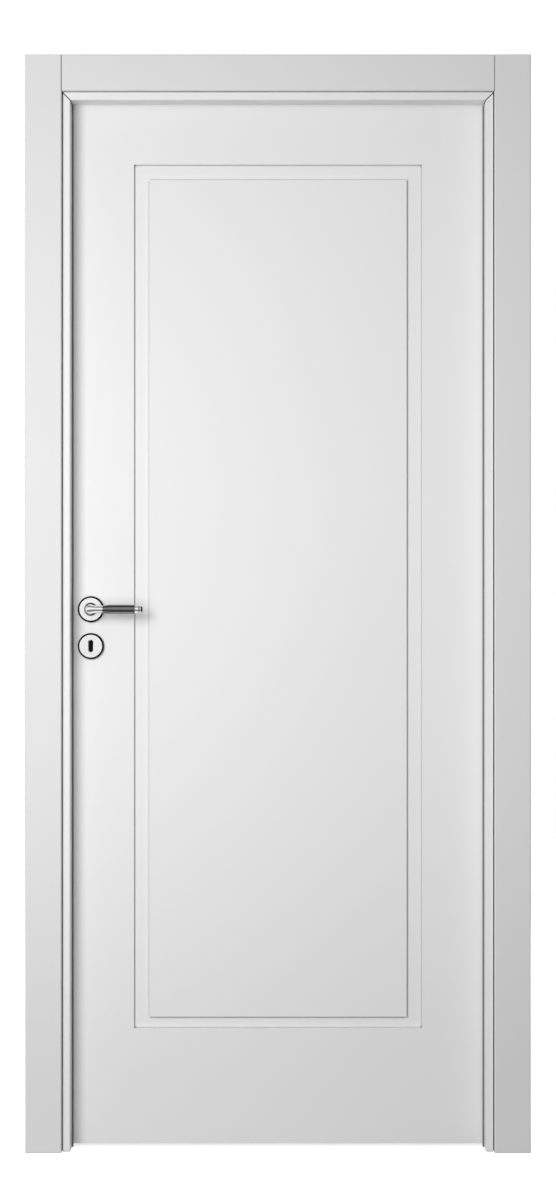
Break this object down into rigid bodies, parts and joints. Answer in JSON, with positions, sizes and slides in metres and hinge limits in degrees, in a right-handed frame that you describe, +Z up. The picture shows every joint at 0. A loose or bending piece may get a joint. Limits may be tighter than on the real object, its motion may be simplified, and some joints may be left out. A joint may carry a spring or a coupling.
{
  "type": "one panel interior door",
  "caption": "White panelled interior door leaf hung in a rebated frame with flat casings, butt hinges and lever handles.",
  "frame": {"origin": "on the wall face of the hinge side jamb, at floor level and half the jamb's depth", "axes": "+X out of that face towards the wall on the hinge side, +Y the way the leaf opens, away from the side shown in the picture, +Z up"},
  "size_m": [0.9938, 0.1595, 2.1304],
  "materials": {
    "painted_wood": "white satin lacquer",
    "core_board": "raw particle board",
    "seal_rubber": "matt extruded",
    "satin_nickel": "fine satin",
    "dark_chrome": "polished, dark",
    "satin_steel": "satin",
    "bright_steel": "bright"
  },
  "bodies": {
    "door_frame": {"jamb_hinge_side": "painted_wood", "jamb_lock_side": "painted_wood", "jamb_head": "painted_wood", "casing_front_hinge_side": "painted_wood", "casing_front_lock_side": "painted_wood", "casing_front_head": "painted_wood", "casing_back_hinge_side": "painted_wood", "casing_back_lock_side": "painted_wood", "casing_back_head": "painted_wood", "seal_hinge_side": "seal_rubber", "seal_lock_side": "seal_rubber", "seal_head": "seal_rubber", "strike_plate": "bright_steel", "hinge_top_jamb_plate": "satin_steel", "hinge_middle_jamb_plate": "satin_steel", "hinge_bottom_jamb_plate": "satin_steel", "hinge_top_pin": "bright_steel", "hinge_middle_pin": "bright_steel", "hinge_bottom_pin": "bright_steel"},
    "leaf": {"leaf_skin_front": "painted_wood", "leaf_skin_back": "painted_wood", "leaf_stile_lock": "painted_wood", "leaf_stile_hinge": "painted_wood", "leaf_rail_top": "painted_wood", "leaf_rail_bottom": "painted_wood", "leaf_core": "core_board", "hinge_top_leaf_plate": "satin_steel", "hinge_middle_leaf_plate": "satin_steel", "hinge_bottom_leaf_plate": "satin_steel", "lock_case": "satin_steel", "lock_forend": "bright_steel", "latch_bolt": "bright_steel", "dead_bolt": "bright_steel", "handle_rose_front": "satin_nickel", "handle_rose_back": "satin_nickel", "key_rose_front": "satin_nickel", "key_rose_back": "satin_nickel"},
    "handle": {"lever_front": "satin_nickel", "lever_back": "satin_nickel", "lever_grip_front": "dark_chrome", "lever_grip_back": "dark_chrome", "handle_spindle": "satin_steel"}
  },
  "joints": [
    {"name": "leaf_swing", "type": "hinge", "parent": "door_frame", "child": "leaf", "pos_m": [-0.0218, 0.053, 1.026], "axis": [0, 0, -1], "range_deg": [0, 160]},
    {"name": "handle_turn", "type": "hinge", "parent": "leaf", "child": "handle", "pos_m": [-0.803, 0.025, 1.05], "axis": [0, 1, 0], "range_deg": [0, 40], "stiffness_Nm_per_rad": 1.2, "springref_deg": -28.65}
  ]
}
